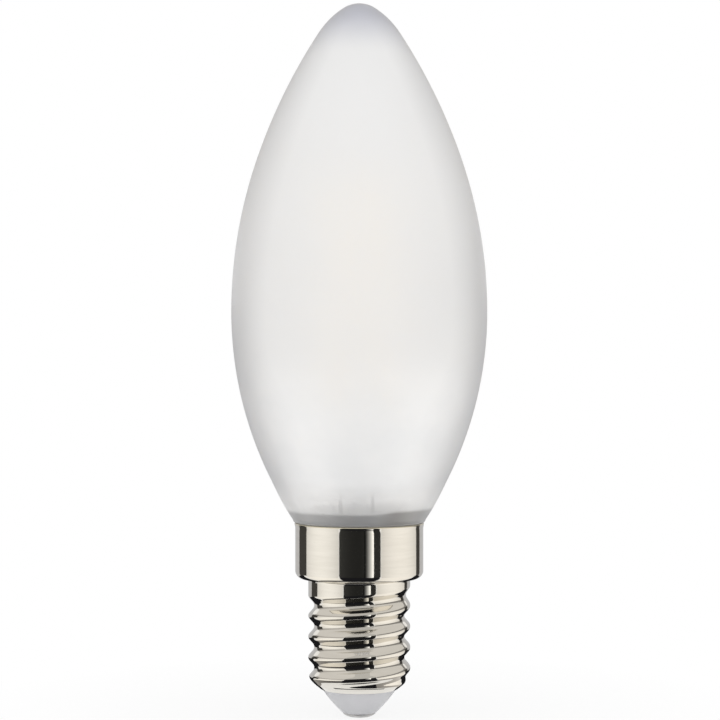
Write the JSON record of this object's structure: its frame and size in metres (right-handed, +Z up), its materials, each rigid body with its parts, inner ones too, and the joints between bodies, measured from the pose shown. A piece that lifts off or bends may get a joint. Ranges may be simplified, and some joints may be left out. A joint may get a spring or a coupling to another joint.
{
  "type": "frosted candle lamp bulb",
  "caption": "Frosted candle-shaped filament lamp with a rolled screw cap, plain metal collar, white insulator cone and a domed centre contact, held upright by its cap",
  "frame": {"origin": "middle of the centre contact's lower face, where the lamp meets the holder's contact", "axes": "+Z runs up the axis from the contact to the glass tip; -Y is the front of the picture, and -X is left"},
  "size_m": [0.0348, 0.0348, 0.097],
  "materials": {
    "frosted_glass": "frosted white inner coat, smooth glossy outside",
    "clear_glass": "clear fire-polished glass",
    "nickel_shell": "polished nickel plate on rolled sheet",
    "contact_metal": "plain pressed metal",
    "insulator_white": "smooth white moulding",
    "cement": "cured lamp cement",
    "wire_metal": "drawn nickel wire",
    "phosphor_coat": "yellow phosphor in silicone",
    "board_laminate": "white solder mask on laminate",
    "chip_black": "moulded black resin",
    "capacitor_sleeve": "shrunk dark sleeve",
    "resistor_body": "painted ceramic body",
    "chip_ceramic": "sintered ceramic block",
    "solder": "bright soft solder"
  },
  "bodies": {
    "root": {"glass_envelope": "frosted_glass", "glass_stem": "clear_glass", "glass_post": "clear_glass", "lead_wire_left": "wire_metal", "lead_wire_right": "wire_metal", "top_wire_back": "wire_metal", "top_wire_front": "wire_metal", "filament_1": "phosphor_coat", "filament_2": "phosphor_coat", "filament_3": "phosphor_coat", "filament_4": "phosphor_coat", "filament_tabs": "wire_metal", "cement_ring": "cement", "cap_shell": "nickel_shell", "insulator": "insulator_white", "centre_contact": "contact_metal", "driver_board": "board_laminate", "driver_chip": "chip_black", "bridge_rectifier": "chip_black", "smoothing_capacitor": "capacitor_sleeve", "fusible_resistor": "resistor_body", "chip_capacitor": "chip_ceramic", "chip_resistors": "chip_black", "live_wire": "wire_metal", "neutral_wire": "wire_metal", "solder_joints": "solder"}
  },
  "joints": []
}
